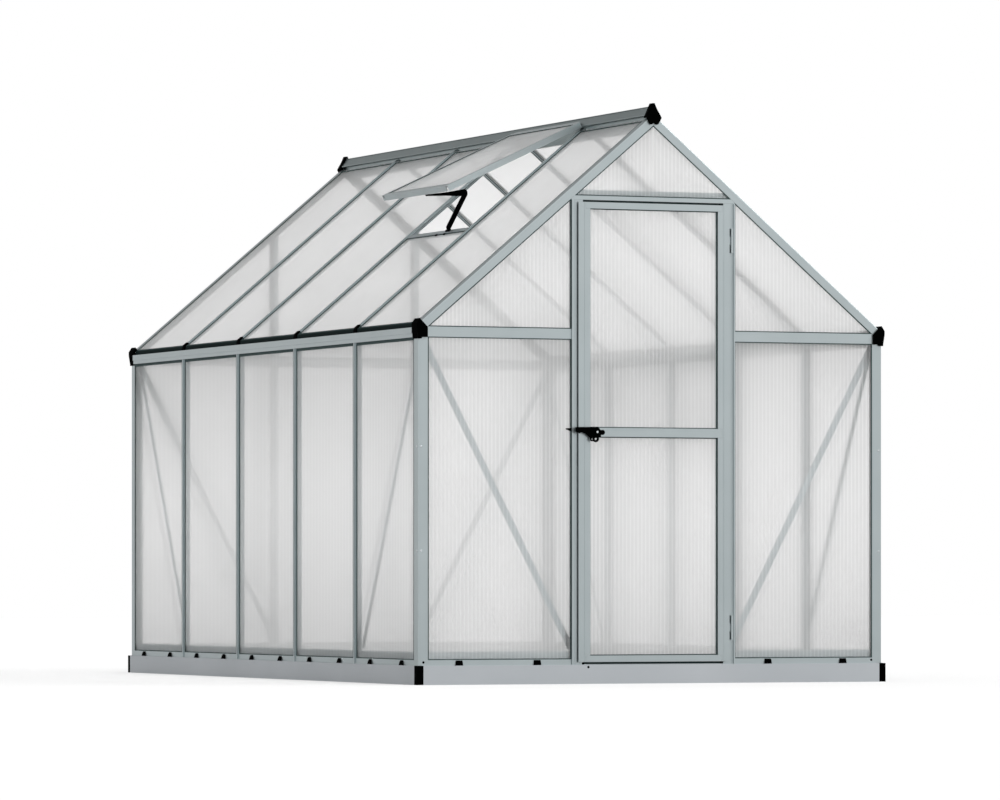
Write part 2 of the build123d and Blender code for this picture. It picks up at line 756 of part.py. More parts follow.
def make_wall_sheets():
    """One twin-wall sheet to each bay, held in the slots of bars, posts, sill and eaves."""
    z0 = sill_top + seat_gap
    z1 = gutter_floor - seat_gap
    edge = bar_web / 2 + seat_gap
    ends = face_y - core_size - seat_gap
    lines = [-ends] + bar_places + [ends]
    pieces = []
    for k in range(bay_count):
        y0 = lines[k] + (edge if k > 0 else 0)
        y1 = lines[k + 1] - (edge if k < bay_count - 1 else 0)
        pieces.append(block(-face_x + slot_in, -face_x + slot_out, y0, y1, z0, z1))
    save("wall_panels_left", pieces)
    save("wall_panels_right", [mirror(one, about=Plane.YZ) for one in pieces])

    mid = gable_rail_bottom + gable_rail_height / 2
    y0 = -face_y + slot_in
    y1 = -face_y + slot_out
    x_slot = jamb_outer - jamb_web_offset + seat_gap
    x_post = face_x - core_size - seat_gap
    z_rail = mid - metal / 2 - seat_gap
    side = block(x_slot, x_post, y0, y1, z0, z_rail)
    save("wall_panels_front", both_sides(side))

    x_bar = jamb_outer - bar_face / 2
    x_a = x_bar + edge
    x_b = x_bar - edge
    back_side = block(x_a, x_post, y0, y1, z0, z_rail)
    back_mid = block(-x_b, x_b, y0, y1, z0, z_rail)
    save("wall_panels_back", [mirror(one, about=Plane.XZ) for one in both_sides(back_side) + [back_mid]])

    z2 = mid + metal / 2 + seat_gap
    under = core_size + seat_gap

    def corner_sheet(x_in):
        return plate_xz([
            (x_in, z2),
            (x_post, z2),
            (x_post, roof_z(x_post, under)),
            (x_in, roof_z(x_in, under)),
        ], y0, y1)

    z_head = header_bottom + metal + seat_gap
    x_head = (roof_apex - under / cos_p - z_head) / tan_p
    peak = (0, roof_z(0, under))
    top = plate_xz([(-x_head, z_head), (x_head, z_head), peak], y0, y1)
    save("gable_panels_front", both_sides(corner_sheet(x_slot)) + [top])
    back_top = plate_xz([
        (-x_b, z2),
        (x_b, z2),
        (x_b, roof_z(x_b, under)),
        peak,
        (-x_b, roof_z(x_b, under)),
    ], y0, y1)
    back = both_sides(corner_sheet(x_a)) + [back_top]
    save("gable_panels_back", [mirror(one, about=Plane.XZ) for one in back])


def make_roof_sheets():
    s_top = (ridge_tube_half + 2 * metal + slot_out * sin_p) / cos_p
    s_low = roof_edge / cos_p
    edge = bar_web / 2 + seat_gap
    ends = face_y - core_size - seat_gap
    lines = [-ends] + bar_places + [ends]
    left = []
    right = []
    for k in range(bay_count):
        y0 = lines[k] + (edge if k > 0 else 0)
        y1 = lines[k + 1] - (edge if k < bay_count - 1 else 0)
        middle = (slot_in + slot_out) / 2

        def sheet(s0):
            size = Box(y1 - y0, sheet_thickness, s_low - s0)
            return slope_plane(0).location * Pos((y0 + y1) / 2, middle, (s0 + s_low) / 2) * size

        right.append(mirror(sheet(s_top), about=Plane.YZ))
        below_vent = vent_sill_slope + metal / 2 + seat_gap
        left.append(sheet(below_vent if k == vent_bay else s_top))
    save("roof_panels_left", left)
    save("roof_panels_right", right)


def vent_plane(y):
    """Raised vent: local x is Y, local y points out of the roof, local z runs down the vent."""
    drop = math.radians(vent_drop)
    x_hinge = -ridge_half + ridge_skirt / 2
    return Plane(origin=(x_hinge, y, ridge_skirt_bottom), x_dir=(0, -1, 0),
                 z_dir=(-math.cos(drop), 0, -math.sin(drop)))


def make_vent():
    """Top-hung roof vent hooked on the ridge bead, standing open on its stay."""
    y_a = bar_places[vent_bay - 1]
    y_b = bar_places[vent_bay]
    centre = (y_a + y_b) / 2
    half = (y_b - y_a) / 2 + vent_overlap
    place = vent_plane(centre).location
    t_top = vent_rail_top
    t_low = t_top - vent_rail_height
    sheet_top = t_top - metal - sheet_clearance
    sheet_low = sheet_top - sheet_thickness
    ledge = sheet_low - sheet_clearance
    s_head = vent_head

    def channel(inward):
        return [
            (0, metal, t_low, t_top),
            (0, inward, t_top - metal, t_top),
            (0, inward - 4, ledge - metal, ledge),
        ]

    side = None
    for w0, w1, t0, t1 in channel(vent_rail_flange):
        piece = Pos(half - (w0 + w1) / 2, (t0 + t1) / 2, (s_head + vent_length) / 2)
        piece = piece * Box(w1 - w0, t1 - t0, vent_length - s_head)
        side = piece if side is None else side + piece
    inner = half - vent_rail_flange - seat_gap
    foot = None
    head = None
    for w0, w1, t0, t1 in channel(vent_rail_flange):
        size = Box(2 * inner, t1 - t0, w1 - w0)
        low = Pos(0, (t0 + t1) / 2, vent_length - (w0 + w1) / 2) * size
        high = Pos(0, (t0 + t1) / 2, s_head + (w0 + w1) / 2) * size
        foot = low if foot is None else foot + low
        head = high if head is None else head + high
    head += Pos(0, t_top - metal / 2, s_head - 5) * Box(2 * inner, metal, 12)
    ring_out = ridge_bead + hook_clearance + hook_wall
    hook_reach = (y_b - y_a) / 2 - bar_face / 2 - metal
    hook = Rot(0, 90, 0) * Cylinder(ring_out, 2 * hook_reach)
    hook -= Rot(0, 90, 0) * Cylinder(ridge_bead + hook_clearance, 2 * inner + 2)
    hook -= Pos(0, ring_out + 1, -ring_out - 1) * Box(2 * inner + 2, 2 * ring_out + 2, 2 * ring_out + 2)
    head += hook
    rails = [side, mirror(side, about=Plane.YZ), head, foot]
    save("vent_frame", [place * rail for rail in rails])

    gap = metal + seat_gap
    size = Box(2 * (half - gap), sheet_thickness, vent_length - s_head - 2 * gap)
    sheet = Pos(0, (sheet_top + sheet_low) / 2, (s_head + vent_length) / 2) * size
    save("vent_panel", [place * sheet])

    reach = (y_b - y_a) / 2 - bar_face / 2 - seat_gap
    sill_place = slope_plane(centre).location
    sill = None
    s0 = vent_sill_slope - vent_sill_width / 2
    s1 = vent_sill_slope + vent_sill_width / 2
    web0 = vent_sill_slope - metal / 2
    web1 = vent_sill_slope + metal / 2
    for p0, p1, a, b in ((0, metal, s0, s1), (0, frame_depth - 4, web0, web1),
                         (inner_lip, inner_lip + metal, web0, s1)):
        piece = Pos(0, (p0 + p1) / 2, (a + b) / 2) * Box(2 * reach, p1 - p0, b - a)
        sill = piece if sill is None else sill + piece
    save("vent_sill", [sill_place * sill])

    clips = []
    for along in vent_clip_places:
        wedge = outline([
            slope_point(s1 + seat_gap, -metal),
            slope_point(s1 + seat_gap + clip_reach, 0),
            slope_point(s1 + seat_gap + clip_reach, slot_in - seat_gap),
            slope_point(s1 + seat_gap, slot_in - seat_gap),
        ])
        y1 = centre + along + vent_clip_width / 2
        clips.append(extrude(Plane.XZ.offset(-y1) * wedge, vent_clip_width))
    save("vent_sill_clips", clips)
    return centre, t_low


def make_stay(centre, t_low):
    """Two flat arms on an elbow pin, from a foot on the vent sill to a lug under the vent's lower rail."""
    y_mid = centre + stay_from_centre
    drop = math.radians(vent_drop)
    x_hinge = -ridge_half + ridge_skirt / 2
    s_tip = vent_length - vent_rail_flange / 2
    t_tip = t_low - seat_gap
    tip_x = x_hinge - s_tip * math.cos(drop) - t_tip * math.sin(drop)
    tip_z = ridge_skirt_bottom - s_tip * math.sin(drop) + t_tip * math.cos(drop)
    foot_s = vent_sill_slope - vent_sill_width / 4
    half_arm = stay_arm_width / 2
    elbow = (stay_elbow_x, roof_apex - stay_elbow_drop)

    def arm(a, b, w_a, w_b, y0, y1):
        run = math.hypot(b[0] - a[0], b[1] - a[1])
        nx = -(b[1] - a[1]) / run
        nz = (b[0] - a[0]) / run
        points = [
            (a[0] + nx * w_a, a[1] + nz * w_a),
            (b[0] + nx * w_b, b[1] + nz * w_b),
            (b[0] - nx * w_b, b[1] - nz * w_b),
            (a[0] - nx * w_a, a[1] - nz * w_a),
        ]
        body = plate_xz(points, y0, y1)
        for place, radius in ((a, w_a), (b, w_b)):
            body += extrude(Plane.XZ.offset(-y1) * (Pos(*place) * Circle(radius)), y1 - y0)
        return body

    t = stay_thickness
    base = slope_point(foot_s - half_arm, -half_arm)
    knee = (elbow[0] + half_arm / 2, elbow[1] - half_arm / 2)
    tip = (tip_x + stay_tip[0], tip_z + stay_tip[1])
    waist = ((tip[0] + elbow[0]) / 2, (tip[1] + elbow[1]) / 2)
    half_waist = stay_waist * half_arm
    y_a = y_mid + seat_gap
    y_b = y_a + t
    y_pin = y_mid + t + stay_pin_head
    y_head = y_mid - t - stay_pin_head

    def disc(radius, y0, y1):
        return extrude(Plane.XZ.offset(-y1) * (Pos(*elbow) * Circle(radius)), y1 - y0)

    lower = arm(knee, base, half_arm, half_arm, y_mid - t, y_mid) + disc(stay_knuckle, y_mid - t, y_mid)
    upper = arm(tip, waist, half_arm / 3, half_waist, y_a, y_b)
    upper += arm(waist, elbow, half_waist, stay_knuckle, y_a, y_b)
    lower = lower + disc(stay_pin_radius, y_head, y_pin)
    upper = upper - disc(stay_pin_radius + stay_pin_clearance, y_head, y_pin)
    long, thick, wide = stay_foot
    foot = Pos(0, -seat_gap - thick / 2, foot_s) * Box(long, thick, wide)
    foot = slope_plane(y_mid - t / 2).location * foot + lower
    extra, tall, deep = stay_lug
    lug = Pos(0, t_tip - tall / 2, s_tip) * Box(t + extra, tall, deep)
    upper = upper + vent_plane(y_a + t / 2).location * lug
    save("vent_stay", [foot, upper])


def make_clips():
    """Wedge clips on the sill that hold the lower edge of each sheet."""
    z0 = plinth_height + seat_gap
    wedge = [
        (0, z0),
        (-clip_reach, z0),
        (-clip_reach + 3, z0 + clip_height * 0.6),
        (0, z0 + clip_height),
    ]
    pieces = []
    for k in range(bay_count):
        middle = -face_y + bay * (k + 0.5)
        for shift in (-clip_spacing / 2, clip_spacing / 2):
            y1 = middle + shift + clip_width / 2
            plane = Plane.XZ.offset(-y1)
            clip = extrude(plane * (Pos(-face_x - seat_gap, 0) * outline(wedge)), clip_width)
            pieces += both_sides(clip)
    x_mid = (jamb_outer + face_x - frame_depth) / 2
    for shift in (-clip_spacing / 2, clip_spacing / 2):
        corner = (x_mid + shift - clip_width / 2, -face_y - seat_gap, 0)
        plane = Plane(origin=corner, x_dir=(0, 1, 0), z_dir=(1, 0, 0))
        pieces += four_corners(extrude(plane * outline(wedge), clip_width))
    save("sill_clips", pieces)


def leaf_section(lip, body, two_sided=False):
    """Hollow door profile with a sheet slot: local x runs out from the sheet's side, local y is depth."""
    slot_a = (door_depth - sheet_thickness) / 2 - sheet_clearance
    slot_b = door_depth - slot_a
    line = stile_groove
    rects = [
        (0, body, door_depth - metal, door_depth),
        (0, body, slot_a - metal, slot_a),
        (0, body, slot_b, slot_b + metal),
        (0, metal, 0, slot_a),
        (0, metal, slot_b, door_depth),
    ]
    if lip > line + face_groove:
        rects += [
            (0, line, 0, metal),
            (line, line + face_groove, face_groove_depth, metal),
            (line + face_groove, lip, 0, metal),
        ]
    else:
        rects.append((0, lip, 0, metal))
    if two_sided:
        rects += [
            (body / 2 - metal / 2, body / 2 + metal / 2, 0, door_depth),
            (body - metal, body, 0, slot_a),
            (body - metal, body, slot_b, door_depth),
        ]
    else:
        rects.append((body - metal, body, 0, door_depth))
    return joined(rects)


def make_door():
    """Overlay leaf: stiles with a lip over the jambs, three rails between them and two sheets."""
    slot_a = (door_depth - sheet_thickness) / 2
    body = leaf_body - stile_inner
    tall = door_top - door_bottom
    stile_plane = Plane(origin=(stile_inner, door_face_y, door_bottom))
    stile = extrude(stile_plane * leaf_section(stile_width, body), tall)
    mid0 = door_mid_rail_bottom
    mid1 = door_mid_rail_bottom + door_mid_rail_height
    x_wall = leaf_body - metal
    for z0, z1 in ((door_bottom - 1, door_bottom + door_rail_height), (mid0, mid1),
                   (door_top - door_rail_height, door_top + 1)):
        z_a = z0 - seat_gap
        z_b = z1 + seat_gap
        stile -= block(stile_inner - 1, x_wall, door_face_y - 1, door_back_y + 1, z_a, z_b)
    save("door_stiles", both_sides(stile))

    x_rail = x_wall - seat_gap
    edge = leaf_section(door_rail_height, door_rail_height)
    centre = leaf_section(door_mid_rail_height, door_mid_rail_height, two_sided=True)
    z_top = door_top - door_rail_height
    z_low = door_bottom + door_rail_height
    place = Plane(origin=(x_rail, door_face_y, z_top), x_dir=(0, 0, 1), z_dir=(-1, 0, 0))
    top = extrude(place * edge, 2 * x_rail)
    place = Plane(origin=(-x_rail, door_face_y, z_low), x_dir=(0, 0, -1), z_dir=(1, 0, 0))
    bottom = extrude(place * edge, 2 * x_rail)
    place = Plane(origin=(x_rail, door_face_y, mid0), x_dir=(0, 0, 1), z_dir=(-1, 0, 0))
    middle = extrude(place * centre, 2 * x_rail)
    save("door_rails", [bottom, middle, top])

    grip = door_sheet_grip - seat_gap
    x_sheet = stile_inner + grip
    ya = door_face_y + slot_a
    yb = ya + sheet_thickness
    lower = block(-x_sheet, x_sheet, ya, yb, door_bottom + door_rail_height - grip, mid0 + grip)
    upper = block(-x_sheet, x_sheet, ya, yb, mid1 - grip, door_top - door_rail_height + grip)
    save("door_panels", [lower, upper])


def make_hinges():
    """Two butt hinges of which only the knuckles show: one leaf behind the door's lip, one on the jamb."""
    frame_leaves = []
    door_leaves = []
    third = hinge_height / 3
    x_jamb = jamb_outer - jamb_bead - 1
    y_jamb = -face_y - seat_gap
    y_lip = door_face_y + metal + seat_gap
    for z0 in (hinge_low, door_top - hinge_from_top):
        z1 = z0 + hinge_height
        middle = Pos(hinge_x, hinge_y, (z0 + z1) / 2)
        frame_leaf = middle * Cylinder(pin_radius, hinge_height)
        for za, zb in ((z0, z0 + third - knuckle_gap), (z1 - third + knuckle_gap, z1)):
            frame_leaf += Pos(hinge_x, hinge_y, (za + zb) / 2) * Cylinder(knuckle_radius, zb - za)
            web_a = hinge_x - hinge_plate
            web_b = hinge_x + hinge_plate
            frame_leaf += block(web_a, web_b, hinge_y + pin_radius, y_jamb, za, zb)
        frame_leaf += block(hinge_x - knuckle_radius, x_jamb, y_jamb - hinge_plate, y_jamb, z0, z1)
        frame_leaves.append(frame_leaf)
        door_leaf = middle * Cylinder(knuckle_radius, third)
        door_leaf += block(leaf_edge - 1, hinge_x, y_lip, y_lip + hinge_plate, z0 + third, z1 - third)
        door_leaf += block(leaf_edge - hinge_leaf_width, leaf_edge, y_lip, y_lip + hinge_plate, z0, z1)
        door_leaf -= middle * Cylinder(pin_radius + pin_clearance, hinge_height)
        door_leaves.append(door_leaf)
    save("hinge_leaves_frame", frame_leaves)
    save("hinge_leaves_door", door_leaves)


def make_latch():
    """Fixed plate with a pivot pin and a padlock eye on the door, and a swinging lever in front of it."""
    y_plate = door_face_y - seat_gap
    y_front = y_plate - latch_plate_thickness
    y_back = y_front - latch_air
    y_lever = y_back - latch_lever_thickness
    y_head = y_lever - metal
    pivot = (0, 0)

    def disc(place, radius, y0, y1):
        middle = Pos(latch_x + place[0], latch_z + place[1])
        return extrude(Plane.XZ.offset(-y1) * (middle * Circle(radius)), y1 - y0)

    x0, x1, z0, z1 = latch_plate_sides
    plate = block(latch_x + x0, latch_x + x1, y_front, y_plate, latch_z + z0, latch_z + z1)
    plate += disc(plate_eye, plate_eye_radius, y_front, y_plate)
    plate -= disc(plate_eye, plate_eye_hole, y_front - 1, y_plate + 1)
    plate += disc(pivot, latch_pin_radius, y_head, y_front)
    plate += disc(pivot, latch_head_radius, y_head, y_lever - latch_head_gap)
    save("latch_plate", [plate])

    lever = plate_xz([(latch_x + x, latch_z + z) for x, z in lever_shape], y_lever, y_back)
    lever += disc(lever_eye, lever_eye_radius, y_lever, y_back)
    lever += disc(lever_knob, lever_knob_radius, y_head, y_back)
    lever -= disc(lever_eye, lever_eye_hole, y_lever - 1, y_back + 1)
    lever -= disc(pivot, latch_pin_radius + latch_bore_clearance, y_lever - 1, y_back + 1)
    save("latch_lever", [lever])

    x_jamb = -jamb_outer - seat_gap
    hook = [(x_jamb + x, latch_z + z) for x, z in keeper_shape]
    keeper = plate_xz(hook, -face_y - keeper_front, -face_y + metal)
    save("latch_keeper", [keeper])


os.makedirs("parts", exist_ok=True)
make_plinth()
make_sills()
make_posts()
make_wall_bars()
make_eaves()
make_roof_bars()
make_ridge()
make_gable_rafters()
make_gable_rails()
make_back_posts()
make_door_frame()
make_braces()
make_wall_sheets()
make_roof_sheets()
vent_centre, vent_low = make_vent()
make_stay(vent_centre, vent_low)
make_clips()
make_door()
make_hinges()
make_latch()
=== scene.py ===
import bpy
import bmesh
import math
from mathutils import Matrix, Vector


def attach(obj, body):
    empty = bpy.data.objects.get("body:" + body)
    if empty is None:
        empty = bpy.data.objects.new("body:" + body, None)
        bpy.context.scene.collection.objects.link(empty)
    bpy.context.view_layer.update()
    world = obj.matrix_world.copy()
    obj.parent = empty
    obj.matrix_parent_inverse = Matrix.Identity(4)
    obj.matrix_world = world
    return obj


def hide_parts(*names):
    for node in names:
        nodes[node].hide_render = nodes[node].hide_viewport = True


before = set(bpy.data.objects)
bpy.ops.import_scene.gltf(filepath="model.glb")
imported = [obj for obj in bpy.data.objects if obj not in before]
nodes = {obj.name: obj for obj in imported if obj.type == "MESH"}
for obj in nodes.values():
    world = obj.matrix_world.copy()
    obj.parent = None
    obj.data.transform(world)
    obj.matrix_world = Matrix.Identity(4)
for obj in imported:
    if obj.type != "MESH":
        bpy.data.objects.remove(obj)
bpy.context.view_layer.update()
print("frame loaded,", len(nodes), "nodes")


def toLinear(hexColour, alpha=1.0):
    channels = []
    for start in (1, 3, 5):
        value = int(hexColour[start:start + 2], 16) / 255
        channels.append(value / 12.92 if value <= 0.04045 else ((value + 0.055) / 1.055) ** 2.4)
    return (*channels, alpha)


def addNode(tree, kind, settings=None, links=None):
    # settings: attribute or socket name to value, links: socket name to (node, output name)
    node = tree.nodes.new(kind)
    for name, value in (settings or {}).items():
        if isinstance(name, int) or name in node.inputs:
            node.inputs[name].default_value = value
        else:
            setattr(node, name, value)
    for name, (source, output) in (links or {}).items():
        tree.links.new(source.outputs[output], node.inputs[name])
    return node


# Camera: long lens from front left, low, shifted up so that the walls stay upright
camera = {
    "place": (-8.975, -21.254, 0.387),
    "heading": -22.992,   # degrees about Z
    "lens": 216.92,       # mm on a 36 mm sensor
    "shiftUp": 0.1757,
}


def makeCamera(s):
    data = bpy.data.cameras.new("view")
    data.lens = s["lens"]
    data.sensor_width = 36
    data.shift_y = s["shiftUp"]
    data.clip_end = 200
    view = bpy.data.objects.new("view", data)
    view.location = s["place"]
    view.rotation_euler = (math.radians(90), 0, math.radians(s["heading"]))
    bpy.context.scene.collection.objects.link(view)
    bpy.context.scene.camera = view


makeCamera(camera)

# Studio: white sweep that stays white for the eye, darker towards the back for what metal mirrors, one soft sun
studio = {
    "skyLight": 1.0,         # strength of the sky on matt surfaces
    "backMirror": 0.74,      # how bright metal shows the back of the studio
    "backTopMirror": 0.38,   # and the back above eye level
    "backSpan": (-0.2, 0.75),    # Y of the direction where the back begins and is full
    "topSpan": (0.05, 0.4),      # and Z of the direction for the upper part
    "keyLight": 1.5,
    "keyTilt": 48,           # degrees from straight down
    "keyTurn": 62,           # degrees about Z
    "keyWidth": 28,          # degrees, for a soft shadow
    "floorColour": "#b4b4b4",
    "floorLift": 0.42,       # light the floor gives the camera by itself
    "floorSize": 60,
}


def mirrored(tree, path):
    # 1 for a ray that metal has sent on, also when it then passes a sheet
    sent = addNode(tree, "ShaderNodeMath", {"operation": "GREATER_THAN", 1: 0.5}, {0: (path, "Glossy Depth")})
    live = addNode(tree, "ShaderNodeMath", {"operation": "MAXIMUM"},
                   {0: (path, "Is Glossy Ray"), 1: (path, "Is Transmission Ray")})
    return addNode(tree, "ShaderNodeMath", {"operation": "MULTIPLY"}, {0: (sent, 0), 1: (live, 0)})


def looked(tree, path):
    # 1 for a ray that comes from the eye, also through a sheet
    return addNode(tree, "ShaderNodeMath", {"operation": "MAXIMUM"},
                   {0: (path, "Is Camera Ray"), 1: (path, "Is Transmission Ray")})


def makeWorld(s):
    world = bpy.data.worlds.new("studio")
    world.use_nodes = True
    tree = world.node_tree
    tree.nodes.clear()
    path = addNode(tree, "ShaderNodeLightPath")
    coord = addNode(tree, "ShaderNodeTexCoord")
    split = addNode(tree, "ShaderNodeSeparateXYZ", links={"Vector": (coord, "Generated")})
    back = addNode(tree, "ShaderNodeMapRange",
                   {"From Min": s["backSpan"][0], "From Max": s["backSpan"][1], "interpolation_type": "SMOOTHSTEP"},
                   {"Value": (split, "Y")})
    top = addNode(tree, "ShaderNodeMapRange",
                  {"From Min": s["topSpan"][0], "From Max": s["topSpan"][1], "interpolation_type": "SMOOTHSTEP",
                   "To Min": s["backMirror"], "To Max": s["backTopMirror"]},
                  {"Value": (split, "Z")})
    level = addNode(tree, "ShaderNodeMix", {"data_type": "FLOAT", 2: 1.0},
                    {0: (back, "Result"), 3: (top, "Result")})
    sky = addNode(tree, "ShaderNodeBackground", {"Color": (1, 1, 1, 1), "Strength": s["skyLight"]})
    white = addNode(tree, "ShaderNodeBackground", {"Color": (1, 1, 1, 1), "Strength": 1.0})
    mirror = addNode(tree, "ShaderNodeBackground", {"Color": (1, 1, 1, 1)}, {"Strength": (level, 0)})
    seen = looked(tree, path)
    first = addNode(tree, "ShaderNodeMixShader", links={0: (seen, 0), 1: (sky, 0), 2: (white, 0)})
    second = addNode(tree, "ShaderNodeMixShader",
                     links={0: (mirrored(tree, path), 0), 1: (first, 0), 2: (mirror, 0)})
    addNode(tree, "ShaderNodeOutputWorld", links={"Surface": (second, 0)})
    bpy.context.scene.world = world


def makeFloor(s):
    half = s["floorSize"] / 2
    mesh = bpy.data.meshes.new("floor")
    corners = [(-half, -half, 0), (half, -half, 0), (half, half, 0), (-half, half, 0)]
    mesh.from_pydata(corners, [], [(0, 1, 2, 3)])
    floor = bpy.data.objects.new("floor", mesh)
    bpy.context.scene.collection.objects.link(floor)
    material = bpy.data.materials.new("paintedStudioFloor")
    material.use_nodes = True
    tree = material.node_tree
    tree.nodes.clear()
    path = addNode(tree, "ShaderNodeLightPath")
    seen = looked(tree, path)
    lift = addNode(tree, "ShaderNodeMath", {"operation": "MULTIPLY", 1: s["floorLift"]}, {0: (seen, 0)})
    matt = addNode(tree, "ShaderNodeBsdfDiffuse", {"Color": toLinear(s["floorColour"])})
    glow = addNode(tree, "ShaderNodeEmission", {"Color": (1, 1, 1, 1)}, {"Strength": (lift, 0)})
    both = addNode(tree, "ShaderNodeAddShader", links={0: (matt, 0), 1: (glow, 0)})
    addNode(tree, "ShaderNodeOutputMaterial", links={"Surface": (both, 0)})
    mesh.materials.append(material)


def makeKeyLight(s):
    data = bpy.data.lights.new("key", "SUN")
    data.energy = s["keyLight"]
    data.angle = math.radians(s["keyWidth"])
    lamp = bpy.data.objects.new("key", data)
    lamp.rotation_euler = (math.radians(s["keyTilt"]), 0, math.radians(s["keyTurn"]))
    bpy.context.scene.collection.objects.link(lamp)


makeWorld(studio)
makeFloor(studio)
makeKeyLight(studio)
scene = bpy.context.scene
scene.view_settings.view_transform = "Standard"
print("camera and studio ready")


roofPitch = 40          # degrees
bumpDistance = 0.0001   # m, depth of the fine bumps on metal and plastic
grainDepth = 0.3


def surface(name):
    material = bpy.data.materials.new(name)
    material.use_nodes = True
    tree = material.node_tree
    tree.nodes.clear()
    return material, tree


# shape of the painted shade on the inner faces: how far a face must look inward before it darkens
insideShadeShape = {"halfLength": 1.5, "middleHeight": 1.2, "from": -0.2, "to": -0.6}


def paintedInsideShadeMask(tree, coord, s):
    # 1 on faces that look into the house, the mask of the painted shade that makes them much darker than the outer
    # ones
    place = addNode(tree, "ShaderNodeVectorMath",
                    {"operation": "MULTIPLY_ADD", 1: (1, 1 / s["halfLength"], 1), 2: (0, 0, -s["middleHeight"])},
                    {0: (coord, "Object")})
    split = addNode(tree, "ShaderNodeSeparateXYZ", links={"Vector": (place, 0)})
    square = addNode(tree, "ShaderNodeMath", {"operation": "MULTIPLY"}, {0: (split, "Y"), 1: (split, "Y")})
    fourth = addNode(tree, "ShaderNodeMath", {"operation": "MULTIPLY"}, {0: (square, 0), 1: (square, 0)})
    ends = addNode(tree, "ShaderNodeMath", {"operation": "MULTIPLY"}, {0: (fourth, 0), 1: (split, "Y")})
    outward = addNode(tree, "ShaderNodeCombineXYZ", links={"X": (split, "X"), "Y": (ends, 0), "Z": (split, "Z")})
    facing = addNode(tree, "ShaderNodeVectorMath", {"operation": "DOT_PRODUCT"},
                     {0: (outward, 0), 1: (coord, "Normal")})
    return addNode(tree, "ShaderNodeMapRange",
                   {"From Min": s["from"], "From Max": s["to"], "interpolation_type": "SMOOTHSTEP"},
                   {"Value": (facing, "Value")})


def millAluminium(name, run, turn, s):
    # extruded aluminium, mill finish: pale grey, soft sheen, faint die lines along the bar, with painted shade on
    # the faces that look into the house
    material, tree = surface(name)
    coord = addNode(tree, "ShaderNodeTexCoord")
    fine = 1000 / s["dieLineMm"]
    line = tuple(fine * s["dieStretch"] if axis == run else fine for axis in "XYZ")
    turned = addNode(tree, "ShaderNodeMapping", {"Rotation": (0, math.radians(turn), 0)},
                     {"Vector": (coord, "Object")})
    stretched = addNode(tree, "ShaderNodeMapping", {"Scale": line}, {"Vector": (turned, "Vector")})
    lines = addNode(tree, "ShaderNodeTexNoise", {"Scale": 1.0, "Detail": 2.0}, {"Vector": (stretched, "Vector")})
    cloud = addNode(tree, "ShaderNodeTexNoise", {"Scale": s["cloudScale"], "Detail": 3.0},
                    {"Vector": (coord, "Object")})
    outer = addNode(tree, "ShaderNodeMix", {"data_type": "RGBA", 6: toLinear(s["dark"]), 7: toLinear(s["light"])},
                    {0: (cloud, "Fac")})
    # painted shade: the inner colour goes on faces that look into the house
    tone = addNode(tree, "ShaderNodeMix", {"data_type": "RGBA", 7: toLinear(s["inner"])},
                   {0: (paintedInsideShadeMask(tree, coord, insideShadeShape), "Result"), 6: (outer, 2)})
    rough = addNode(tree, "ShaderNodeMapRange", {"To Min": s["roughLow"], "To Max": s["roughHigh"]},
                    {"Value": (lines, "Fac")})
    bump = addNode(tree, "ShaderNodeBump", {"Strength": s["lineDepth"], "Distance": bumpDistance},
                   {"Height": (lines, "Fac")})
    metal = addNode(tree, "ShaderNodeBsdfPrincipled", {"Metallic": 1.0},
                    {"Base Color": (tone, 2), "Roughness": (rough, "Result"), "Normal": (bump, "Normal")})
    addNode(tree, "ShaderNodeOutputMaterial", links={"Surface": (metal, "BSDF")})
    return material


# inner: painted shade, the colour of the faces that look into the house
aluminium = {"dark": "#aeb8ba", "light": "#bdc6c8", "inner": "#7d8989", "dieLineMm": 1.5, "dieStretch": 0.02,
             "lineDepth": 0.25, "cloudScale": 6.0, "roughLow": 0.28, "roughHigh": 0.42}
# roof slope parts get a darker painted shade on their inner faces
slopeAluminium = {**aluminium, "inner": "#465656"}
# the ridge in a darker tone than the other aluminium
ridgeAluminium = {**aluminium, "dark": "#8d9899", "light": "#9ba5a6"}
alongX = millAluminium("millAluminiumAlongX", "X", 0, aluminium)
alongY = millAluminium("millAluminiumAlongY", "Y", 0, aluminium)
upright = millAluminium("millAluminiumUpright", "Z", 0, aluminium)
leftSlope = millAluminium("millAluminiumLeftSlope", "X", roofPitch, slopeAluminium)
ridgeMaterial = millAluminium("darkerRidgeAluminium", "Y", 0, ridgeAluminium)

zinc = {"dark": "#b8bdc1", "light": "#c8ccd0", "cloudScale": 2.5, "rollLineMm": 3.0, "rollStretch": 0.01,
        "roughLow": 0.4, "roughHigh": 0.52}


def zincSteel(s):
    # rolled steel sheet, zinc coated: dull smooth grey, soft clouds, faint roll lines along the fold
    material, tree = surface("zincCoatedSteel")
    coord = addNode(tree, "ShaderNodeTexCoord")
    cloud = addNode(tree, "ShaderNodeTexNoise", {"Scale": s["cloudScale"], "Detail": 4.0},
                    {"Vector": (coord, "Object")})
    tone = addNode(tree, "ShaderNodeMix", {"data_type": "RGBA", 6: toLinear(s["dark"]), 7: toLinear(s["light"])},
                   {0: (cloud, "Fac")})
    fine = 1000 / s["rollLineMm"]
    long = fine * s["rollStretch"]
    flat = addNode(tree, "ShaderNodeMapping", {"Scale": (long, long, fine)}, {"Vector": (coord, "Object")})
    lines = addNode(tree, "ShaderNodeTexNoise", {"Scale": 1.0, "Detail": 2.0}, {"Vector": (flat, "Vector")})
    rough = addNode(tree, "ShaderNodeMapRange", {"To Min": s["roughLow"], "To Max": s["roughHigh"]},
                    {"Value": (lines, "Fac")})
    metal = addNode(tree, "ShaderNodeBsdfPrincipled", {"Metallic": 1.0},
                    {"Base Color": (tone, 2), "Roughness": (rough, "Result")})
    addNode(tree, "ShaderNodeOutputMaterial", links={"Surface": (metal, "BSDF")})
    return material


